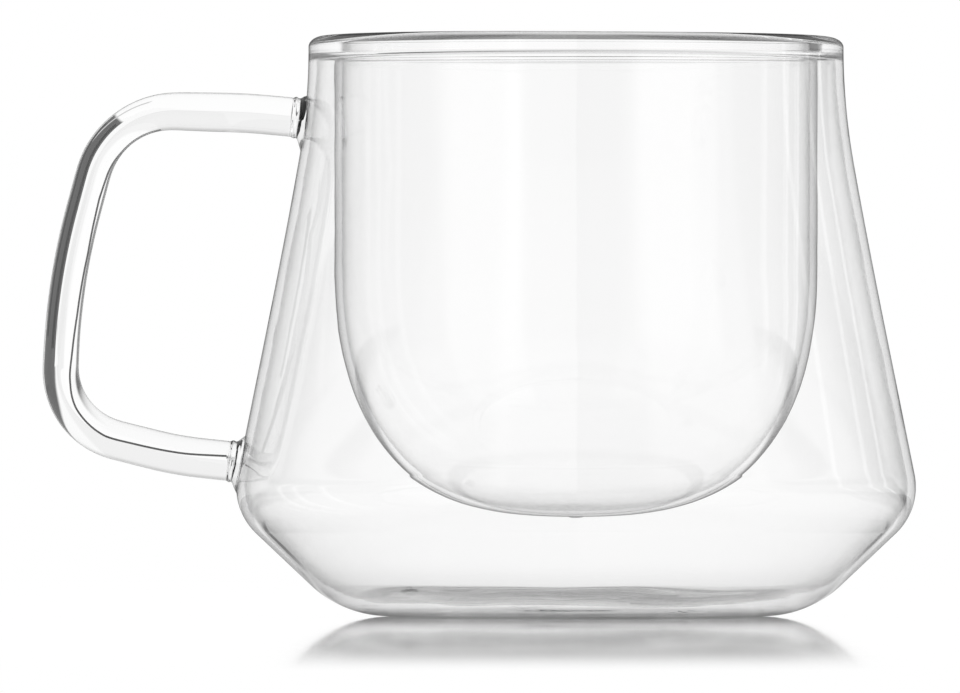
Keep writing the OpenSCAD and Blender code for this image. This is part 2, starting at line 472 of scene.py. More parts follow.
class MeshMaker:
    """Collects points and faces in millimetres and makes one object of them."""

    def __init__(self, name: str) -> None:
        """Starts an empty mesh."""
        self.name = name
        self.mesh = bmesh.new()

    def ring(self, points: np.ndarray) -> list[bmesh.types.BMVert]:
        """Adds one ring of points, in metres from here on."""
        return [self.mesh.verts.new(Vector(p) * MM) for p in points]

    def span(self, low: list, high: list, facing: Facing = Facing.SHOWN) -> None:
        """Joins two closed rings by faces.

        Args:
            low: One ring. A ring of one point closes to a fan.
            high: The other ring.
            facing: What the faces are.
        """
        count = max(len(low), len(high))
        for i in range(count):
            j = (i + 1) % count
            corners = [low[i % len(low)], low[j % len(low)]]
            corners += [high[j % len(high)], high[i % len(high)]]
            face = self.mesh.faces.new(list(dict.fromkeys(corners)))
            face.material_index = facing.value
            face.smooth = True

    def skin(self, rings: Sequence[list], facing: Facing = Facing.SHOWN) -> None:
        """Joins each ring to the next one by faces."""
        for low, high in zip(rings, rings[1:]):
            self.span(low, high, facing)

    def fill(self, rings: Sequence[list], facing: Facing = Facing.SHOWN) -> None:
        """Fills the flat space between closed rings.

        Args:
            rings: The outer ring, and those round its holes.
            facing: What the faces are.
        """
        edges = []
        for ring in rings:
            for i, vert in enumerate(ring):
                pair = (vert, ring[(i + 1) % len(ring)])
                edges.append(self.mesh.edges.get(pair) or self.mesh.edges.new(pair))
        made = bmesh.ops.triangle_fill(self.mesh, edges=edges, use_beauty=True)
        for face in (g for g in made["geom"] if isinstance(g, bmesh.types.BMFace)):
            face.material_index = facing.value

    def build(
        self, materials: Sequence[bpy.types.Material], corner: float = 32.0
    ) -> bpy.types.Object:
        """Makes the object.

        Args:
            materials: One for each Facing that the mesh uses.
            corner: Angle in degrees over which an edge stays sharp.

        Returns:
            The linked object, at the origin.
        """
        bmesh.ops.recalc_face_normals(self.mesh, faces=self.mesh.faces)
        data = bpy.data.meshes.new(self.name)
        self.mesh.to_mesh(data)
        self.mesh.free()
        for material in materials:
            data.materials.append(material)
        data.shade_smooth()
        data.set_sharp_from_angle(angle=math.radians(corner))
        made = bpy.data.objects.new(self.name, data)
        bpy.context.scene.collection.objects.link(made)
        return made


def lathe_ring(point: Sequence[float], sides: int) -> np.ndarray:
    """The ring that a point of an outline sweeps round the cup's axis.

    Args:
        point: The point, as (radius, height).
        sides: Number of the ring's points.

    Returns:
        The ring's points, or one point on the axis.
    """
    radius, height = point
    if radius < ON_AXIS:
        return np.array([[0.0, 0.0, height]])
    round_ = heading(np.arange(sides) * 360 / sides) * radius
    return np.column_stack([round_, np.full(sides, height)])


def register(piece: bpy.types.Object, node: str) -> bpy.types.Object:
    """Lets a piece stand for its CAD node, on the cup's only body.

    Args:
        piece: The piece.
        node: The CAD node that it replaces.

    Returns:
        The piece.
    """
    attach(piece, BODY)
    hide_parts(node)
    LOG.info("%s: %d faces", piece.name, len(piece.data.polygons))
    return piece


# Finishes

# Painted shade: grey of a piece as (tilt, level) stops, darker where it is seen at a grazing
# angle. Tilt is 0 where it is seen head-on, and 1 along it.
GLASS_EDGE_SHADE = ((0.0, 1.0), (0.56, 1.0), (0.7, 0.93), (0.8, 0.72), (0.9, 0.4), (1.0, 0.1))
LINING_EDGE_SHADE = ((0.0, 1.0), (0.66, 1.0), (0.8, 0.86), (0.88, 0.36), (0.94, 0.05), (1.0, 0.0))
BOWL_EDGE_SHADE = ((0.0, 1.0), (0.68, 1.0), (0.8, 0.84), (0.86, 0.38), (0.91, 0.06), (0.95, 0.0))
SILICONE_EDGE_SHADE = ((0.0, 0.7), (0.4, 0.3), (0.75, 0.08), (1.0, 0.02))


class Finish:
    """A finish, which has a name and builds its own shader."""

    name: str

    def shader(self, graph: Graph) -> Signal:
        """The whole shader, in the material's node tree."""
        raise NotImplementedError

    def material(self) -> bpy.types.Material:
        """Makes the material."""
        graph = Graph(bpy.data.materials.new(self.name))
        return graph.finish(self.shader(graph))


@dataclass(frozen=True)
class Foot:
    """A weld between the wall and the rod's end, in millimetres.

    The rod's axis meets the wall in at and runs along out, both as (x, z), and the rod ends
    length from there. The weld covers the wall up to base_r from the axis, moved down by droop.
    """

    at: tuple[float, float]
    out: tuple[float, float]
    length: float
    base_r: float
    droop: float

    @property
    def down(self) -> tuple[float, float]:
        """Direction across the rod's axis, on its lower side, as (x, z)."""
        return (-self.out[1], self.out[0])

    @property
    def rod_end(self) -> np.ndarray:
        """Where the rod ends, as (x, z)."""
        return np.array(self.at) + self.length * np.array(self.out)

    def reach(self, turn: np.ndarray) -> np.ndarray:
        """Radius of the foot at an angle from its lowest point, in degrees."""
        return self.base_r + self.droop * np.cos(np.radians(turn))

    def cover(self, graph: Graph) -> Signal:
        """Tells which part of the wall the weld covers.

        Args:
            graph: The wall's node tree.

        Returns:
            1 on the wall inside the foot, and 0 outside.
        """
        x, y, z = graph.parts(graph.place())
        low = (x - self.at[0] * MM) * self.down[0] + (z - self.at[1] * MM) * self.down[1]
        away = hypot(low, y)
        inside = away < self.base_r * MM + self.droop * MM * low / away
        return inside * (x < 0.0)


@dataclass(frozen=True)
class ClearGlass(Finish):
    """Clear borosilicate glass.

    Grazing views darken along edge, as clear glass does between dark studio cards; here that
    darkening is painted shade in the base colour. The blown surface has ripples, and rings where
    the base was spun, below ripple_top. Below calm_h the painted edge shade fades out, and below
    low_h the glass darkens to low_level, a painted shade towards the bottom, both fully at their
    share of that height. Sizes are in millimetres.
    """

    name: str
    edge: Stops = GLASS_EDGE_SHADE
    ripple: float = 0.0
    ripple_size: Span = (3.0, 3.0, 3.0)
    ripple_top: float = 0.0
    rings: float = 0.0
    rings_per_m: float = 420.0
    ring_wander: float = 1.1
    calm_h: float = 0.0
    calm_share: float = 0.55
    low_h: float = 0.0
    low_share: float = 0.5
    low_level: float = 1.0
    refraction: float = 1.47
    feet: tuple[Foot, ...] = ()

    def shader(self, graph: Graph) -> Signal:
        """Builds the shader.

        Args:
            graph: The material's node tree.

        Returns:
            The shader.
        """
        # Painted shade: the base colour greys where the surface is seen at a grazing angle.
        colour = graph.tilt_ramp(self.edge)
        if self.calm_h > 0:
            z = graph.parts(graph.place())[2]
            calm = z.smooth(self.calm_h * MM, self.calm_share * self.calm_h * MM)
            colour = graph.mix_colours(calm, colour, WHITE)
            # Painted shade: the glass is painted darker towards the bottom.
            low = z.smooth(self.low_h * MM, self.low_share * self.low_h * MM)
            level = mix_signal(1.0, self.low_level, low)
            colour = graph.mix_colours(level, BLACK, colour)
        inputs = {
            "Base Color": colour,
            "Roughness": 0.0,
            "IOR": self.refraction,
            "Transmission Weight": 1.0,
        }
        if self.ripple > 0:
            inputs["Normal"] = self._ripples(graph)
        if self.feet:
            inputs["Alpha"] = 1 - sum(foot.cover(graph) for foot in self.feet)
        return graph.node("ShaderNodeBsdfPrincipled", inputs)

    def _ripples(self, graph: Graph) -> Signal:
        """Slight waves of the blown surface, and stronger rings where the base was spun.

        Args:
            graph: The glass's node tree.

        Returns:
            The bent normal.
        """
        place = graph.place()
        x, y, z = graph.parts(place)
        scale = tuple(1 / (size * MM) for size in self.ripple_size)
        scaled = graph.node("ShaderNodeMapping", {"Vector": place, "Scale": scale})
        waves = graph.noise(scaled, 1.0, 1.0)
        if self.rings > 0:
            away = hypot(x, y)
            spun = {
                0: away * self.rings_per_m,
                1: x / away * self.ring_wander,
                2: y / away * self.ring_wander,
            }
            rings = graph.noise(graph.node("ShaderNodeCombineXYZ", spun), 1.0, 2.0)
            low = z.smooth(self.ripple_top * MM, 0.0)
            waves = waves + rings * low * (self.rings / self.ripple)
        inputs = {"Strength": 1.0, "Distance": self.ripple * MM, "Height": waves}
        return graph.node("ShaderNodeBump", inputs)


@dataclass(frozen=True)
class ClearSilicone(Finish):
    """Soft clear rubber with a slight haze, and painted shade that darkens it towards its outline.
    """

    name: str = "clear_silicone"
    edge: Stops = SILICONE_EDGE_SHADE
    haze_per_m: float = 900.0
    haze_share: float = 0.4
    haze_colour: tuple[float, ...] = (0.5, 0.51, 0.51, 1.0)
    roughness: float = 0.12
    haze_roughness: float = 0.16
    refraction: float = 1.41
    clarity: float = 0.8

    def shader(self, graph: Graph) -> Signal:
        """Builds the shader.

        Args:
            graph: The material's node tree.

        Returns:
            The shader.
        """
        haze = graph.noise(graph.place(), self.haze_per_m, 2.0)
        # Painted shade: grey that deepens towards the outline as the surface turns away.
        edge = graph.tilt_ramp(self.edge)
        inputs = {
            "Base Color": graph.mix_colours(haze * self.haze_share, edge, self.haze_colour),
            "Roughness": self.roughness + haze * self.haze_roughness,
            "IOR": self.refraction,
            "Transmission Weight": self.clarity,
        }
        return graph.node("ShaderNodeBsdfPrincipled", inputs)


@dataclass(frozen=True)
class FusedGlass(Finish):
    """Faces inside the glass, where two pieces are melted into one: nothing shows there."""

    name: str = "fused_glass"
    colour: tuple[float, ...] = (0.95, 0.97, 0.97, 1.0)

    def shader(self, graph: Graph) -> Signal:
        """A shader that lets everything through."""
        return graph.node("ShaderNodeBsdfPrincipled", {"Base Color": self.colour, "Alpha": 0.0})


# Sub-assemblies


@dataclass
class GlassBody:
    """The two blown walls, the seam that joins them at the rim, and the vent's plug.

    The waves of the base are (size, count round it, start, twist up the wall).
    """

    shape: CupShape
    fused: bpy.types.Material
    feet: tuple[Foot, ...] = ()
    sides: int = 288
    vent_inset: float = 2.9
    vent_d: float = 1.6
    vent_sides: int = 40
    nub_steps: int = 10
    upright_steps: int = 8
    plug_lip: float = 0.55
    plug_head_h: float = 0.6
    plug_tip_h: float = 1.3
    plug_recess: float = 0.3
    plug_lift: float = 0.02
    plug_round_w: float = 0.3
    plug_round_h: float = 0.5
    plug_round_steps: int = 8
    plug_tip_w: float = 0.3
    plug_tip_round: float = 0.1
    plug_tip_steps: int = 6
    plug_cone_steps: int = 12
    plug_cone_in: float = 0.55
    plug_cone_up: float = 1.6
    base_swell: float = 0.05
    base_swell_h: float = 13.0
    base_swell_mean: float = 1.5
    base_swell_in: float = 0.5
    base_waves: tuple[tuple[float, int, float, float], ...] = (
        (1.0, 3, 0.6, 0.5),
        (0.6, 7, 1.9, -0.9),
        (0.35, 13, 0.0, 0.3),
    )
    rim_dip: float = 0.22
    rim_wave_size: float = 0.25
    rim_wave_count: int = 4
    rim_wave_start: float = 0.8

    @property
    def vent_out(self) -> float:
        """Distance of the vent from the cup's axis."""
        return self.shape.base_r - self.vent_inset

    def rings(self, maker: MeshMaker, outline: np.ndarray, bend: Bend | None = None) -> list[list]:
        """Turns an outline round the cup's axis.

        Args:
            maker: The mesh that gets the rings.
            outline: Points as (radius, height).
            bend: Moves the points of a ring, where it is given.

        Returns:
            The rings.
        """
        made = []
        for point in outline:
            ring = lathe_ring(point, self.sides)
            made.append(maker.ring(bend(ring) if bend and len(ring) > 1 else ring))
        return made

    def swell(self, ring: np.ndarray) -> np.ndarray:
        """Uneven thickness of the blown wall near the base, towards the hollow.

        Args:
            ring: Points of the even wall.

        Returns:
            The moved points.
        """
        turn = np.arctan2(ring[:, 1], ring[:, 0])
        height = ring[:, 2]
        low = np.clip(1 - height / self.base_swell_h, 0, 1) ** 2
        wave = self.base_swell_mean
        for size, count, start, twist in self.base_waves:
            wave = wave + size * np.sin(count * turn + start + twist * height)
        lift = self.base_swell * low * wave
        away = np.hypot(ring[:, 0], ring[:, 1])
        swollen = ring.copy()
        for i in (0, 1):
            swollen[:, i] -= self.base_swell_in * lift * ring[:, i] / away
        swollen[:, 2] += lift
        return swollen

    def rim_wave(self, ring: np.ndarray) -> np.ndarray:
        """The flame leaves the rim's height slightly uneven.

        Args:
            ring: Points of the even rim.

        Returns:
            The moved points.
        """
        shape = self.shape
        turn = np.arctan2(ring[:, 1], ring[:, 0])
        high = np.clip((ring[:, 2] - shape.gap_top_h) / (shape.cup_h - shape.gap_top_h), 0, 1)
        wave = 1 + np.sin(self.rim_wave_count * turn + self.rim_wave_start)
        dip = 1 + np.cos(turn) + self.rim_wave_size * wave
        waved = ring.copy()
        waved[:, 2] -= self.rim_dip * 0.5 * dip * high
        return waved

    def build_outer_wall(self) -> bpy.types.Object:
        """The outer shell with its flat base and the vent hole.

        Returns:
            The piece.
        """
        shape = self.shape
        maker = MeshMaker("outer_wall_glass")
        outside = self.rings(maker, shape.wall_outline(0, 0))
        inside = self.rings(maker, shape.wall_outline(shape.base_t, shape.outer_wall_t), self.swell)
        maker.skin(outside)
        maker.skin(inside, Facing.LINING)
        maker.span(outside[-1], inside[-1], Facing.FUSED)
        heights = (0.0, self.plug_recess, shape.base_t)
        vent = [self._vent_ring(maker, (self.vent_d / 2, height)) for height in heights]
        maker.span(vent[0], vent[1], Facing.LINING)
        maker.span(vent[1], vent[2], Facing.FUSED)
        maker.fill([outside[0], vent[0]], Facing.LINING)
        maker.fill([inside[0], vent[2]], Facing.LINING)
        skin = ClearGlass(
            "outer_glass",
            ripple=0.02,
            ripple_size=(9, 9, 6),
            # Painted shade: the edge shade fades out below 3.4 mm, and the bottom 1 mm of the skin
            # is painted darker.
            calm_h=3.4,
            low_h=1.0,
            low_level=0.4,
            feet=self.feet,
        )
        lining = replace(
            skin,
            name="outer_glass_lining",
            # Painted shade: the lining greys at grazing views, and is painted slightly darker below
            # 8.5 mm.
            edge=LINING_EDGE_SHADE,
            ripple_top=9.0,
            rings=0.05,
            low_h=8.5,
            low_level=0.88,
            feet=(),
        )
        piece = maker.build([skin.material(), self.fused, lining.material()])
        return register(piece, "outer_wall")

    def _vent_ring(self, maker: MeshMaker, point: Sequence[float]) -> list:
        """The ring that (radius, height) sweeps round the vent's axis."""
        ring = lathe_ring(point, self.vent_sides)
        return maker.ring(ring - np.array([self.vent_out, 0, 0]))

    def build_inner_bowl(self) -> bpy.types.Object:
        """The bowl that holds the drink, with the nub under it.

        Returns:
            The piece.
        """
        shape = self.shape
        nub_r = shape.nub_d / 2
        outside = shape.dome(shape.bowl_r, shape.bowl_foot_h, nub_r)
        inside = shape.dome(shape.mouth_r, shape.bowl_foot_h + shape.bowl_t, 0)
        turn = heading(np.linspace(0, 90, self.nub_steps + 1))[1:]
        nub = np.array([0, outside[-1, 1]]) + turn * np.array([nub_r, -shape.nub_h])
        maker = MeshMaker("inner_bowl_glass")
        rims = []
        for outline in (
            np.concatenate([self._upright(shape.bowl_r), outside, nub]),
            np.concatenate([self._upright(shape.mouth_r), inside]),
        ):
            rings = self.rings(maker, outline)
            maker.skin(rings)
            rims.append(rings[0])
        maker.span(*rims, Facing.FUSED)
        glass = ClearGlass("inner_glass", ripple=0.012, ripple_size=(12, 12, 9), edge=BOWL_EDGE_SHADE)
        piece = maker.build([glass.material(), self.fused])
        return register(piece, "inner_bowl")

    def _upright(self, radius: float) -> np.ndarray:
        """Points down the bowl's upright wall, without the last."""
        steps = self.upright_steps
        heights = np.linspace(self.shape.seam_h, self.shape.bowl_turn_h, steps + 1)[:-1]
        return np.column_stack([np.full(steps, radius), heights])

    def build_rim_seam(self) -> bpy.types.Object:
        """The ring of glass that closes the gap at the rim.

        Returns:
            The piece.
        """
        shape = self.shape
        steps = shape.steps
        seam_lean = shape.neck_lean_at(shape.seam_h, 0)
        outside = arc(shape.neck_centre, shape.neck_turn_r, 180 + seam_lean, 180, steps // 4)
        half_w = (shape.rim_r - shape.mouth_r) / 2
        turn = heading(np.linspace(0, 180, steps + 1))[1:]
        middle = np.array([shape.mouth_r + half_w, shape.neck_h])
        top = middle + turn * np.array([half_w, shape.rim_round_h])
        loop = np.concatenate([outside, top, [[shape.mouth_r, shape.seam_h]]])
        gap_r = shape.wall_outline(0, shape.outer_wall_t)[-1, 0]
        fillet_r = shape.gap_fillet_r
        fillet_h = shape.gap_top_h - fillet_r
        gap = np.concatenate(
            [
                [[shape.bowl_r, shape.seam_h]],
                arc([shape.bowl_r + fillet_r, fillet_h], fillet_r, 180, 90, steps // 4),
                arc([gap_r - fillet_r, fillet_h], fillet_r, 90, 0, steps // 4),
                [[gap_r, shape.seam_h]],
            ]
        )
        maker = MeshMaker("rim_seam_glass")
        shown = [self.rings(maker, line, self.rim_wave) for line in (loop, gap)]
        for rings in shown:
            maker.skin(rings)
        maker.span(shown[0][0], shown[1][-1], Facing.FUSED)
        maker.span(shown[0][-1], shown[1][0], Facing.FUSED)
        glass = ClearGlass("seam_glass", ripple=0.012, ripple_size=(9, 9, 4))
        piece = maker.build([glass.material(), self.fused])
        return register(piece, "rim_seam")

    def _plug_outline(self) -> np.ndarray:
        """Outline of the plug: its stem, the head's rounded shoulder, the cone and the tip.

        Returns:
            Points as (radius, height) about the vent's axis.
        """
        seat = self.shape.base_t + self.plug_lift
        stem_r = self.vent_d / 2
        head_r = stem_r + self.plug_lip
        head_top = seat + self.plug_head_h
        tip_r = self.plug_tip_w * stem_r
        tip_h = (1 - self.plug_tip_round) * self.plug_tip_h
        round_size = np.array([self.plug_round_w * head_r, self.plug_round_h * self.plug_head_h])
        shoulder = np.array([head_r, head_top]) - round_size
        shoulder = shoulder + heading(np.linspace(0, 90, self.plug_round_steps + 1)) * round_size
        share = np.linspace(0, 1, self.plug_cone_steps + 1)[1:]
        inwards = mix(shoulder[-1, 0], tip_r, share**self.plug_cone_in)
        cone = np.column_stack([inwards, mix(head_top, head_top + tip_h, share**self.plug_cone_up)])
        turn = heading(np.linspace(0, 90, self.plug_tip_steps + 1))[1:]
        tip_size = np.array([tip_r, self.plug_tip_round * self.plug_tip_h])
        tip = np.array([0, head_top + tip_h]) + turn * tip_size
        tip[-1, 0] = 0
        recess = self.plug_recess
        stem = [[0, recess], [stem_r, recess], [stem_r, seat], [head_r, seat]]
        return np.concatenate([stem, shoulder, cone, tip])

    def build_vent_plug(self) -> bpy.types.Object:
        """The stopper in the vent hole: a stem and a small pointed head.

        Returns:
            The piece.
        """
        maker = MeshMaker("vent_plug_silicone")
        rings = [self._vent_ring(maker, point) for point in self._plug_outline()]
        for i, (low, high) in enumerate(zip(rings, rings[1:])):
            maker.span(low, high, Facing.FUSED if i == 1 else Facing.SHOWN)
        piece = maker.build([ClearSilicone().material(), self.fused])
        return register(piece, "vent_plug")


@dataclass
class Handle:
    """The bent rod and the two welds that hold it to the outer wall.

    places are shares of the rod's length, at which its radii are given.
    """

    shape: CupShape
    fused: bpy.types.Material
    rod_d: float = 5.8
    upper_weld_drop: float = 12.4
    upper_run_reach: float = 9.1
    upper_run_drop: float = 11.6
    upper_run_bend_r: float = 80.0
    upper_corner_reach: float = 29.6
    upper_corner_drop: float = 11.1
    upper_bend_r: float = 12.5
    grip_reach: float = 25.6
    grip_rise: float = 21.9
    grip_bend_r: float = 100.0
    lower_corner_reach: float = 26.7
    lower_corner_rise: float = 9.2
    lower_bend_r: float = 11.0
    lower_run_reach: float = 8.8
    lower_run_rise: float = 4.7
    lower_run_bend_r: float = 58.0
    lower_weld_rise: float = 3.7
    upper_fillet_r: float = 2.2
    upper_stub: float = 0.5
    lower_fillet_r: float = 2.0
    lower_stub: float = 0.4
    bend_share: float = 0.49
    foot_share: float = 0.07
    foot_trim: float = 0.1
    upper_droop: float = 0.75
    lower_droop: float = 0.35
    places: tuple[float, ...] = (0.0, 0.15, 0.26, 0.36, 0.66, 0.78, 1.0)
    radii: tuple[float, ...] = (2.93, 2.93, 2.56, 2.62, 2.66, 2.95, 2.97)
    easing: int = 11
    radius_easing: int = 31
    weld_bulge: float = 0.16
    weld_bulges: float = 3.4
    weld_bulge_start: float = 0.5
    weld_lobes: int = 3
    weld_lobe_size: float = 0.35
    weld_lobe_twist: float = 300.0
    weld_crowding: float = 1.35
    weld_flare: float = 3.2
    weld_steps: int = 26
    foot_steps: int = 6
    search_depths: tuple[float, float] = (-4.0, 3.0)
    search_steps: int = 40
    sides: int = 72
    spacing: float = 0.35

    def knots(self) -> tuple[np.ndarray, ...]:
        """Corners of the rod's route between its two ends.

        Returns:
            The corners as (x, z), from the upper end on.
        """
        shape = self.shape
        rim_x, belly_x = -shape.rim_r, -shape.belly_r
        lower_h = shape.belly_h + self.lower_corner_rise
        return (
            np.array([rim_x - self.upper_run_reach, shape.cup_h - self.upper_run_drop]),
            np.array([rim_x - self.upper_corner_reach, shape.cup_h - self.upper_corner_drop]),
            np.array([belly_x - self.grip_reach, lower_h + self.grip_rise]),
            np.array([belly_x - self.lower_corner_reach, lower_h]),
            np.array([belly_x - self.lower_run_reach, shape.belly_h + self.lower_run_rise]),
        )

    def feet(self) -> tuple[Foot, Foot]:
        """The upper weld and the lower one.

        Returns:
            Both, as feet on the wall.
        """
        knots = self.knots()
        upper_h = self.shape.cup_h - self.upper_weld_drop
        lower_h = self.shape.belly_h + self.lower_weld_rise
        return (
            self._foot(upper_h, knots[0], self.upper_fillet_r, self.upper_stub, self.upper_droop),
            self._foot(lower_h, knots[-1], self.lower_fillet_r, self.lower_stub, self.lower_droop),
        )

    def _foot(
        self, height: float, knot: np.ndarray, fillet_r: float, stub: float, droop: float
    ) -> Foot:
        """One weld.

        Args:
            height: Height at which the rod's axis meets the wall.
            knot: The corner that the axis runs to.
            fillet_r: Radius of the weld's fillet.
            stub: Straight length beyond the fillet.
            droop: How far the weld has sagged.

        Returns:
            The weld.
        """
        at = np.array([-float(self.shape.outside_r(height)), height])
        rod_r = self.rod_d / 2
        sunk = (rod_r + fillet_r) ** 2 / (2 * -at[0]) + self.foot_share * fillet_r
        base_r = rod_r + fillet_r - droop - self.foot_trim * fillet_r
        return Foot(tuple(at), tuple(unit(knot - at)), fillet_r - sunk + stub, base_r, droop)

    def centreline(self) -> np.ndarray:
        """The rod's axis.

        Returns:
            Evenly spaced points as (x, z).
        """
        upper, lower = self.feet()
        route = [upper.rod_end, *self.knots(), lower.rod_end]
        radii = (
            self.upper_run_bend_r,
            self.upper_bend_r,
            self.grip_bend_r,
            self.lower_bend_r,
            self.lower_run_bend_r,
        )
        bends = [self._bend(*turn) for turn in zip(route, route[1:], route[2:], radii)]
        points = np.concatenate([route[0][None], *bends, route[-1][None]])
        walked = np.concatenate([[0], np.cumsum(np.linalg.norm(np.diff(points, axis=0), axis=1))])
        even = np.linspace(0, walked[-1], round(walked[-1] / self.spacing) + 1)
        return np.column_stack([np.interp(even, walked, points[:, i]) for i in (0, 1)])

    def _bend(
        self, before: np.ndarray, corner: np.ndarray, after: np.ndarray, radius: float
    ) -> np.ndarray:
        """Arc that rounds one corner of the route.

        Args:
            before: The corner before it.
            corner: The corner.
            after: The corner after it.
            radius: The arc's radius, which shrinks where the runs are short.

        Returns:
            Points as (x, z).
        """
        back, onward = before - corner, after - corner
        first, second = unit(back), unit(onward)
        half = math.acos(float(first @ second)) / 2
        reach = min(
            radius / math.tan(half),
            self.bend_share * np.linalg.norm(back),
            self.bend_share * np.linalg.norm(onward),
        )
        radius = reach * math.tan(half)
        centre = corner + radius / math.sin(half) * unit(first + second)
        start = corner + reach * first - centre
        end = corner + reach * second - centre
        angles = [math.degrees(math.atan2(p[1], p[0])) for p in (start, end)]
        swing = (angles[1] - angles[0] + 180) % 360 - 180
        return arc(centre, radius, angles[0], angles[0] + swing, self.shape.steps)

    def build_rod(self) -> bpy.types.Object:
        """The bent rod, swept along its axis and slightly thinner along the grip.

        Returns:
            The piece.
        """
        line = self.centreline()
        kernel = np.hanning(self.easing + 2)[1:-1]
        kernel /= kernel.sum()
        half = self.easing // 2
        before = 2 * line[0] - line[half:0:-1]
        after = 2 * line[-1] - line[-2 : -half - 2 : -1]
        padded = np.concatenate([before, line, after])
        line = np.column_stack([np.convolve(padded[:, i], kernel, "valid") for i in (0, 1)])
        radii = np.interp(np.linspace(0, 1, len(line)), self.places, self.radii)
        count = self.radius_easing
        radii = np.pad(radii, count // 2, "edge")
        radii = np.convolve(radii, np.full(count, 1 / count), "valid")
        along = np.gradient(line, axis=0)
        along /= np.linalg.norm(along, axis=1)[:, None]
        upper, lower = self.feet()
        along[0] = upper.out
        along[-1] = -np.array(lower.out)
        across = np.column_stack([-along[:, 1], along[:, 0]])
        turn = heading(np.arange(self.sides) * 360 / self.sides)
        maker = MeshMaker("handle_rod_glass")
        rings = []
        for centre, normal, radius in zip(line, across, radii):
            ring = np.zeros((self.sides, 3))
            ring[:, 0] = centre[0] + radius * turn[:, 0] * normal[0]
            ring[:, 2] = centre[1] + radius * turn[:, 0] * normal[1]
            ring[:, 1] = radius * turn[:, 1]
            rings.append(maker.ring(ring))
        maker.skin(rings)
        for ring in (rings[0], rings[-1]):
            maker.fill([ring], Facing.FUSED)
        piece = maker.build([ClearGlass("rod_glass").material(), self.fused])
        return register(piece, "handle_rod")

    def wall_depth(self, foot: Foot, low: np.ndarray, side: np.ndarray) -> np.ndarray:
        """How far along the rod's axis a place across it meets the wall's outside.

        Args:
            foot: The weld.
            low: Distance from the axis on its lower side.
            side: Distance from the axis sideways.

        Returns:
            Distance from foot.at, outwards.
        """
        near, far = (np.full(low.shape, depth) for depth in self.search_depths)
        for _ in range(self.search_steps):
            middle = (near + far) / 2
            x = foot.at[0] + foot.out[0] * middle + foot.down[0] * low
            z = foot.at[1] + foot.out[1] * middle + foot.down[1] * low
            outside = np.hypot(x, side) > self.shape.outside_r(z)
            far = np.where(outside, middle, far)
            near = np.where(outside, near, middle)
        return far

    def weld_ring(self, foot: Foot, radius: np.ndarray, lift: float) -> np.ndarray:
        """One ring of a weld.

        Args:
            foot: The weld.
            radius: Distance from the rod's axis, for each side.
            lift: 0 on the wall, and 1 at the rod's end.

        Returns:
            The ring's points.
        """
        turn = heading(np.arange(self.sides) * 360 / self.sides)
        low, side = radius * turn[:, 0], radius * turn[:, 1]
        along = mix(self.wall_depth(foot, low, side), foot.length, lift)
        x = foot.at[0] + foot.out[0] * along + foot.down[0] * low
        z = foot.at[1] + foot.out[1] * along + foot.down[1] * low
        return np.column_stack([x, side, z])

    def build_weld(self, node: str, foot: Foot, end_r: float) -> bpy.types.Object:
        """Glass drawn out between the wall and the rod's end, with the rings the flame leaves.

        Args:
            node: Name of the CAD node.
            foot: The weld.
            end_r: Radius of the rod's end.

        Returns:
            The piece.
        """
        maker = MeshMaker(node + "_glass")
        turn = np.arange(self.sides) * 360 / self.sides
        reach = foot.reach(turn)
        rings = []
        for share in np.arange(self.weld_steps + 1) / self.weld_steps:
            lift = 1 - (1 - share) ** self.weld_crowding
            swing = math.sin(self.weld_bulges * math.pi * lift + self.weld_bulge_start)
            bulge = self.weld_bulge * math.sin(math.pi * lift) * swing
            lobes = np.sin(np.radians(self.weld_lobes * turn + self.weld_lobe_twist * lift))
            wave = 1 + self.weld_lobe_size * lobes
            radius = mix(end_r, reach, (1 - lift) ** self.weld_flare) + bulge * wave
            rings.append(maker.ring(self.weld_ring(foot, radius, lift)))
        maker.skin(rings)
        self._close(maker, rings[0], foot, reach, 0.0)
        self._close(maker, rings[-1], foot, np.full(self.sides, end_r), 1.0)
        glass = ClearGlass(node + "_glass", ripple=0.05, ripple_size=(1.6, 1.6, 1.6))
        piece = maker.build([glass.material(), self.fused], corner=60)
        return register(piece, node)

    def _close(
        self, maker: MeshMaker, end: list, foot: Foot, radius: np.ndarray, lift: float
    ) -> None:
        """Closes one end of a weld with smaller and smaller rings.

        Args:
            maker: The weld's mesh.
            end: Its last ring.
            foot: The weld.
            radius: Distance of that ring from the rod's axis, for each side.
            lift: 0 on the wall, and 1 at the rod's end.
        """
        rings = [end]
        for i in range(1, self.foot_steps):
            inner = self.weld_ring(foot, radius * (1 - i / self.foot_steps), lift)
            rings.append(maker.ring(inner))
        middle = self.weld_ring(foot, np.zeros(self.sides), lift)[:1]
        maker.skin([*rings, maker.ring(middle)], Facing.FUSED)

    def build_welds(self) -> None:
        """Both welds."""
        upper, lower = self.feet()
        self.build_weld("upper_handle_weld", upper, self.radii[0])
        self.build_weld("lower_handle_weld", lower, self.radii[-1])


# Studio

ROOM_LEVEL = 0.7
CARD_DARK = 0.87
RIGHT_CARD = (10.5, 172, 2.5)
LEFT_CARD = (-150, -48, 5)
BOUNCE_TURN = 25

# A turn in degrees that takes the right card out of every direction.
AWAY_TURN = 400


@dataclass(frozen=True)
class Panel:
    """A lighter or darker part of the studio, between two directions round the cup in degrees."""

    start: float
    end: float
    soft: float
    change: float


ROOM = (
    Panel(-46, 46, 7, -0.08),
    Panel(-13, 13, 6, -0.46),
    Panel(110, 153, 3, 0.55),
    Panel(-156, -118, 5, 0.35),
    *(Panel(place - 1.2, place + 1.2, 0.9, 0.9) for place in (50, 61, 79)),
)


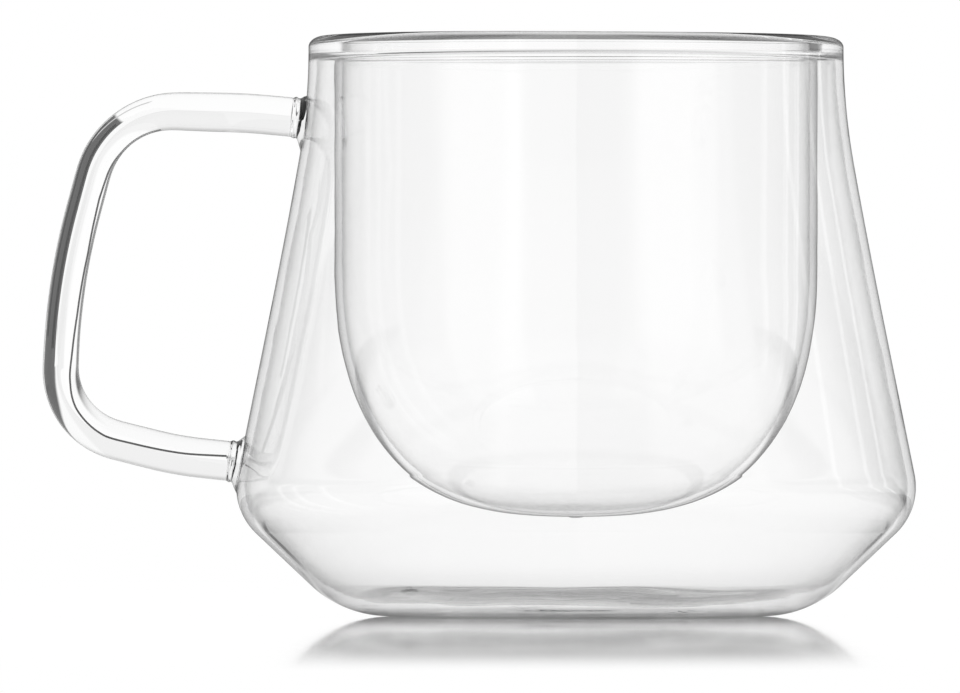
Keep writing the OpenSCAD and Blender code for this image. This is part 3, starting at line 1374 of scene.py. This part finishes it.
class Rays:
    """How a ray came to the studio. All but depth are 1 where what they say is true, and else 0."""

    far_share: float = 0.38

    def __init__(self, graph: Graph) -> None:
        """Adds the Light Path node, whose first output is 1 for the camera's own rays."""
        self.camera = graph.node("ShaderNodeLightPath")

    @cached_property
    def passed(self) -> Signal:
        """The last surface let the ray through."""
        return self.camera.output("Is Transmission Ray")

    @cached_property
    def depth(self) -> Signal:
        """How many glass faces the ray has passed, as a number."""
        return self.camera.output("Transmission Depth")

    @cached_property
    def bounced(self) -> Signal:
        """A surface reflected the ray, at any time."""
        return self.camera.output("Glossy Depth").over(0)

    @cached_property
    def thin(self) -> Signal:
        """The ray passed two faces at most: a rod, a weld or the edge of a wall."""
        return self.depth.up_to(2)

    @cached_property
    def reflected(self) -> Signal:
        """The ray is a reflection, or one that reached the studio through the outer wall.

        Returns:
            1 for such a ray, and less for one that also passed the walls behind.
        """
        mirrored = self.camera.output("Is Reflection Ray")
        direct = mirrored * (1 - self.camera.output("Is Diffuse Ray"))
        beyond = self.depth.over(2) - self.depth.over(5) * self.far_share
        return direct.at_least(self.bounced * beyond * self.passed)


def room_level(side: Signal) -> Signal:
    """Brightness of the studio as reflections show it.

    Args:
        side: Direction round the cup.

    Returns:
        The brightness.
    """
    level = ROOM_LEVEL
    for panel in ROOM:
        level = level + side.band(panel.start, panel.end, panel.soft) * panel.change
    return level


def thin_room_level(side: Signal, bounced: Signal, turned: Signal) -> Signal:
    """Brightness of the studio as rods and wall edges show it: dark beyond its pale middle.

    Args:
        side: Direction round the cup.
        bounced: 1 where the glass reflected the ray inside, as wall edges do.
        turned: How much further round the dark part on the right lies, in degrees.

    Returns:
        The brightness.
    """
    right = (side - bounced * BOUNCE_TURN - turned).band(*RIGHT_CARD)
    return 1 - right.at_least(side.band(*LEFT_CARD)) * CARD_DARK


class FloorFinish:
    """Glossy white: plain white to the camera, with a reflection that fades outwards.

    Glass shows the studio's cards in it. Pairs and threes are what smooth and band take, in
    metres from the cup's axis, degrees round it, or shares reflected at a grazing angle.
    """

    colour: tuple[float, ...] = (0.98, 0.98, 0.98, 1.0)
    refraction: float = 1.45
    roughness: float = 0.03
    gloss_reach: Ends = (0.64, 0.36)
    shadow_reach: Ends = (0.12, 0.05)
    shadow: float = 0.15
    room_reach: Ends = (0.1, 0.2)
    card_start: float = 0.5
    card_slope: float = 0.226
    card_x: Ends = (-0.014, -0.01)
    card_y: Ends = (0.045, 0.06)
    beside_right: Ends = (53, 58)
    beside_right_dark: float = 0.5
    beside_left: Ends = (-53, -58)
    beside_left_dark: float = 0.75
    beside_reach: Span = (0.045, 0.15, 0.01)
    lip_depth: Span = (4.5, 6.5, 0.1)
    lip_reach: Span = (0.08, 0.5, 0.07)
    lip_level: float = 0.2
    lip_side: Ends = (3, 9)
    lip_fall: float = 0.14
    base_reach: Ends = (0.05, 0.037)
    cone_reach: Span = (0.05, 0.3, 0.01)
    cone_y: Ends = (0.0, 0.01)
    cone_line: Span = (0.19, 0.235, 0.012)
    cone_line_reach: Ends = (0.076, 0.066)
    cone_edge: Ends = (0.26, 0.36)
    cone_edge_share: float = 0.7
    line_level: float = 0.15

    def __init__(self) -> None:
        """Adds what the ray, the place on the floor and the grazing angle are."""
        self.graph = Graph(bpy.data.materials.new("floor_white"))
        self.rays = Rays(self.graph)
        self.x, self.y, _ = self.graph.parts(self.graph.place())
        self.away = hypot(self.x, self.y)
        self.side = bearing(self.x, self.y)
        self.far = self.away.smooth(*self.room_reach)
        self.fresnel = self.graph.node("ShaderNodeFresnel", {"IOR": self.refraction})

    def thin_level(self) -> Signal:
        """Brightness of the floor as rods and wall edges show it.

        Returns:
            The brightness, with a dark card on the right and one on each side of the cup.
        """
        bounced = self.rays.bounced
        around = thin_room_level(self.side, bounced, AWAY_TURN * (1 - bounced))
        level = 1 - (1 - around) * self.far
        edge = ((self.y - self.card_start) * self.card_slope).at_least(0.0)
        card = (self.x - edge).smooth(*self.card_x) * self.y.smooth(*self.card_y) * (1 - bounced)
        level = level.at_most(1 - card * CARD_DARK)
        beside = self.side.smooth(*self.beside_right) * self.beside_right_dark
        beside = beside + self.side.smooth(*self.beside_left) * self.beside_left_dark
        return level.at_most(1 - beside * self.away.band(*self.beside_reach) * bounced)

    def dark_lines(self) -> Signal:
        """Painted shade on the floor near the base and behind the lower cone, which only reflected
        rays see: the base and the lower cone reflect it as dark lines.

        Returns:
            1 on a line, and 0 elsewhere.
        """
        base = self.away.smooth(*self.base_reach) * self.rays.camera.output("Is Reflection Ray")
        behind = self.away.band(*self.cone_reach) * self.y.smooth(*self.cone_y)
        line = self.fresnel.band(*self.cone_line) * self.away.smooth(*self.cone_line_reach)
        grazed = line.at_least(self.fresnel.smooth(*self.cone_edge) * self.cone_edge_share)
        return base.at_least(behind * self.rays.reflected * grazed)

    def material(self) -> bpy.types.Material:
        """Makes the material.

        Returns:
            The material.
        """
        graph, rays, away = self.graph, self.rays, self.away
        level = mix_signal(1.0, room_level(self.side), rays.reflected * self.far)
        level = mix_signal(level, self.thin_level(), rays.passed * rays.thin)
        lip = rays.depth.band(*self.lip_depth) * (1 - rays.bounced) * rays.passed
        lip_level = self.lip_level - abs(self.side).smooth(*self.lip_side) * self.lip_fall
        level = mix_signal(level, lip_level, lip * away.band(*self.lip_reach))
        # Painted shade near the cup, seen only in reflections.
        level = mix_signal(level, self.line_level, self.dark_lines())
        white = graph.node("ShaderNodeEmission", {"Color": level, "Strength": 1.0})
        gloss = graph.node("ShaderNodeBsdfGlossy", {"Color": WHITE, "Roughness": self.roughness})
        matt = graph.node("ShaderNodeBsdfDiffuse", {"Color": self.colour})
        shadow = rays.camera * away.smooth(*self.shadow_reach) * self.shadow
        ground = graph.mix_shaders(shadow, white, matt)
        fade = away.smooth(*self.gloss_reach)
        shiny = graph.mix_shaders(self.fresnel * fade * rays.camera, ground, gloss)
        seen = (rays.camera + rays.camera.output("Is Glossy Ray") + rays.passed).smooth(0, 1)
        return graph.finish(graph.mix_shaders(seen, matt, shiny))


@dataclass(frozen=True)
class CardFinish(Finish):
    """A card that only single pieces of glass show, and that is clear to everything else."""

    name: str
    level: float

    def shader(self, graph: Graph) -> Signal:
        """Builds the shader.

        Args:
            graph: The material's node tree.

        Returns:
            The shader.
        """
        rays = Rays(graph)
        clear = graph.node("ShaderNodeBsdfTransparent")
        card = graph.node("ShaderNodeEmission", {"Color": WHITE, "Strength": self.level})
        return graph.mix_shaders(rays.passed * rays.thin, clear, card)


class Surroundings:
    """White surroundings, and the studio that the glass reflects and bends into view.

    Pairs and threes are what smooth and band take, in degrees above the horizon, or round the
    cup where the name holds side.
    """

    window_side: Span = (-3.4, 3.4, 1)
    window_rise: Span = (-1, 2.4, 0.5)
    ceiling_rise: Ends = (42, 52)
    ceiling_level: float = 0.66
    thick_rise: Ends = (14, 50)
    thick_dark: float = 0.2
    run_side: Ends = (9, 5)
    run_tilt: float = 0.25
    run_dark: float = 0.1
    top_rise: Ends = (35, 60)
    top_dark: float = 0.3
    above_rise: Ends = (0.6, 1.4)
    horizon_rise: Span = (-1.1, 0.9, 0.3)
    horizon_dark: float = 0.12
    darkest: float = 0.12

    def __init__(self) -> None:
        """Adds what the ray and its direction are."""
        self.graph = Graph(bpy.data.worlds.new("studio"))
        self.rays = Rays(self.graph)
        x, y, z = self.graph.parts(self.graph.place("Generated"))
        self.side = bearing(x, y)
        self.rise = z.math("ARCSINE") * math.degrees(1)

    def room(self) -> Signal:
        """Brightness as reflections show it: the room, its ceiling and the window behind the cup.

        Returns:
            The brightness.
        """
        ceiling = self.rise.smooth(*self.ceiling_rise)
        level = mix_signal(room_level(self.side), self.ceiling_level, ceiling)
        window = self.side.band(*self.window_side) * self.rise.band(*self.window_rise)
        return mix_signal(level, 1.0, window * self.rays.depth.up_to(0))

    def thin_level(self) -> Signal:
        """Brightness as rods and wall edges show it, with faint bands along the handle's runs.

        Returns:
            The brightness.
        """
        rise = self.rise
        run = (abs(self.side) - abs(rise) * self.run_tilt).smooth(*self.run_side)
        above = 1 - run * self.run_dark - rise.smooth(*self.top_rise) * self.top_dark
        level = mix_signal(1.0, above, rise.smooth(*self.above_rise))
        level = level - rise.band(*self.horizon_rise) * run * self.horizon_dark
        around = thin_room_level(self.side, self.rays.bounced, rise.at_least(0.0))
        return (level * around).at_least(self.darkest)

    def world(self) -> bpy.types.World:
        """Makes the world.

        Returns:
            The world.
        """
        rays = self.rays
        thick_level = 1 - self.rise.smooth(*self.thick_rise) * self.thick_dark
        seen = mix_signal(thick_level, self.thin_level(), rays.thin)
        level = mix_signal(mix_signal(1.0, seen, rays.passed), self.room(), rays.reflected)
        inputs = {"Color": level, "Strength": 1.0}
        return self.graph.finish(self.graph.node("ShaderNodeBackground", inputs))


@dataclass(frozen=True)
class Strip:
    """A dark strip behind the handle, which the rod draws together into one thin line.

    places are shares of the rod's length. The line lies offsets of the rod's radius inside its
    axis, and is width of the radius wide.
    """

    name: str
    behind: float
    width: float
    places: tuple[float, ...]
    offsets: tuple[float, ...]


STRIPS = (
    Strip(
        "finger_side_strip",
        behind=40.0,
        width=0.1,
        places=(0.2, 0.3, 0.35, 0.39, 0.48, 0.58, 0.66, 0.7, 0.74, 0.8, 0.86, 0.93, 1.0),
        offsets=(0.95, 0.92, 0.8, 0.72, 0.82, 0.75, 0.6, 0.45, 0.2, 0.02, 0.05, 0.12, 0.25),
    ),
    Strip(
        "grip_strip",
        behind=12.0,
        width=0.14,
        places=(0.27, 0.4, 0.64),
        offsets=(-0.41, -0.44, -0.47),
    ),
    Strip(
        "outer_strip",
        behind=12.0,
        width=0.08,
        places=(0.28, 0.4, 0.62),
        offsets=(-0.84, -0.8, -0.78),
    ),
)


@dataclass
class Studio:
    """Camera, pale floor and soft surroundings. The pixels are those of the photograph."""

    distance: float = 2800.0
    camera_h: float = 28.0
    frame_px: float = 960.0
    axis_px: float = 576.0
    middle_px: float = 480.0
    base_px: float = 616.0
    centre_px: float = 346.5
    mm_per_px: float = 0.1495
    sensor: float = 36.0
    clip: tuple[float, float] = (50.0, 20000.0)
    floor_size: float = 6000.0
    floor_drop: float = 0.05
    flag_x: tuple[float, float] = (-43.0, 40.0)
    flag_y: float = 130.0
    flag_h: float = 12.0
    flag_level: float = 0.6
    strip_level: float = 0.06

    def place_camera(self) -> bpy.types.Object:
        """Sets the camera at the photograph's place.

        Returns:
            The camera.
        """
        data = bpy.data.cameras.new("camera")
        data.sensor_fit = "HORIZONTAL"
        data.sensor_width = self.sensor
        aim_h = (self.base_px - self.centre_px) * self.mm_per_px
        aim_x = (self.middle_px - self.axis_px) * self.mm_per_px
        reach = math.hypot(self.distance, self.camera_h - aim_h)
        data.lens = self.sensor * reach / (self.frame_px * self.mm_per_px)
        data.clip_start, data.clip_end = (end * MM for end in self.clip)
        camera = bpy.data.objects.new("camera", data)
        camera.location = Vector((aim_x, -self.distance, self.camera_h)) * MM
        way = Vector((0.0, self.distance, aim_h - self.camera_h))
        camera.rotation_euler = way.to_track_quat("-Z", "Y").to_euler()
        bpy.context.scene.collection.objects.link(camera)
        bpy.context.scene.camera = camera
        return camera

    @staticmethod
    def _set_up(maker: MeshMaker, material: bpy.types.Material) -> bpy.types.Object:
        """Makes an object of the studio, which isn't part of the cup."""
        made = maker.build([material])
        return made

    def _panel(
        self, name: str, corners: Sequence[tuple[float, ...]], material: bpy.types.Material
    ) -> bpy.types.Object:
        """A flat panel.

        Args:
            name: Its name.
            corners: Its corners, in order.
            material: Its material.

        Returns:
            The panel.
        """
        maker = MeshMaker(name)
        maker.mesh.faces.new(maker.ring(np.array(corners)))
        return self._set_up(maker, material)

    def lay_floor(self) -> bpy.types.Object:
        """A large pale floor, a hair below the base.

        Returns:
            The floor.
        """
        half, low = self.floor_size / 2, -self.floor_drop
        corners = [(-half, -half, low), (half, -half, low), (half, half, low), (-half, half, low)]
        return self._panel("floor", corners, FloorFinish().material())

    def hang_flag(self) -> bpy.types.Object:
        """A low grey card behind the cup that only wall edges show.

        Returns:
            The card.
        """
        (left, right), y, top = self.flag_x, self.flag_y, self.flag_h
        corners = [(left, y, 0.0), (right, y, 0.0), (right, y, top), (left, y, top)]
        card = CardFinish("grey_card", self.flag_level)
        return self._panel("grey_flag", corners, card.material())

    def hang_strip(self, handle: Handle, strip: Strip) -> bpy.types.Object:
        """Hangs one dark strip.

        Args:
            handle: The handle that it follows.
            strip: Its place and width.

        Returns:
            The strip.
        """
        line = handle.centreline()
        share = np.linspace(0, 1, len(line))
        along = np.gradient(line, axis=0)
        outward = np.column_stack([along[:, 1], -along[:, 0]])
        outward /= np.linalg.norm(outward, axis=1)[:, None]
        chosen = (share >= strip.places[0]) & (share <= strip.places[-1])
        place = np.interp(share, strip.places, strip.offsets)
        maker = MeshMaker(strip.name)
        rows = []
        for step in (-0.5, 0.5):
            offset = place + step * strip.width
            turn = 2 * (np.arcsin(offset) - np.arcsin(offset / ClearGlass.refraction))
            reach = strip.behind * np.tan(turn) - offset * handle.rod_d / 2
            edge = (line + reach[:, None] * outward)[chosen]
            depth = np.full(len(edge), strip.behind)
            rows.append(maker.ring(np.column_stack([edge[:, 0], depth, edge[:, 1]])))
        for i in range(len(rows[0]) - 1):
            maker.mesh.faces.new([rows[0][i], rows[0][i + 1], rows[1][i + 1], rows[1][i]])
        return self._set_up(maker, CardFinish("black_card", self.strip_level).material())

    def light(self) -> None:
        """Surrounds the cup with the studio's light."""
        bpy.context.scene.world = Surroundings().world()


def set_up_scene() -> None:
    """Plain view settings, and enough bounces for eight glass faces and the floor."""
    scene = bpy.context.scene
    scene.view_settings.view_transform = "Standard"
    scene.cycles.max_bounces = 64
    scene.cycles.transmission_bounces = 48
    scene.cycles.glossy_bounces = 48
    scene.cycles.transparent_max_bounces = 16


def main() -> None:
    """Builds every piece and the studio."""
    logging.basicConfig(level=logging.INFO, format="%(name)s: %(message)s")
    set_up_scene()
    shape = CupShape()
    fused = FusedGlass().material()
    handle = Handle(shape, fused)
    body = GlassBody(shape, fused, handle.feet())
    body.build_outer_wall()
    body.build_inner_bowl()
    body.build_rim_seam()
    body.build_vent_plug()
    handle.build_rod()
    handle.build_welds()
    studio = Studio()
    studio.place_camera()
    studio.lay_floor()
    studio.hang_flag()
    for strip in STRIPS:
        studio.hang_strip(handle, strip)
    studio.light()


if __name__ == "__main__":
    main()
